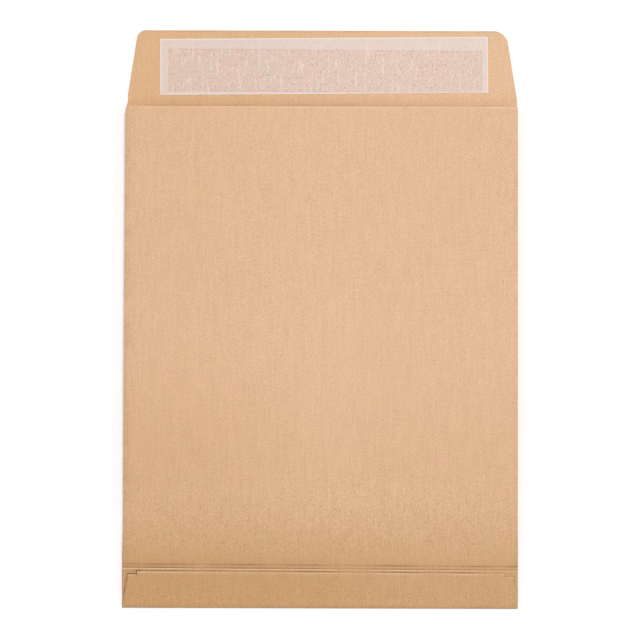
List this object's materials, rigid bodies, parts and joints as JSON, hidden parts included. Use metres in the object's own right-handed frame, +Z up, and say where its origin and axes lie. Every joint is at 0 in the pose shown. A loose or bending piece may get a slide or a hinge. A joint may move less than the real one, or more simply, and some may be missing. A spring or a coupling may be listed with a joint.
{
  "type": "paper envelope",
  "caption": "Large kraft paper envelope with V gussets, a flat folded bottom and an open closure flap with a peel-off liner over its adhesive.",
  "frame": {"origin": "middle of the envelope's outline on the surface that it lies on, with the flap open", "axes": "+X across the envelope, +Y from the bottom fold towards the flap, +Z up from the front panel, which lies on the surface, to the back panel"},
  "size_m": [0.25, 0.367, 0.0074],
  "materials": {
    "kraft_paper": "uncoated brown kraft",
    "liner_paper": "thin silky glassine",
    "closure_adhesive": "clear tacky film",
    "paper_glue": "dry glue film"
  },
  "bodies": {
    "root": {"kraft_sheet": "kraft_paper", "adhesive_strip": "closure_adhesive", "release_liner": "liner_paper", "seam_glue": "paper_glue", "bottom_glue": "paper_glue"}
  },
  "joints": []
}
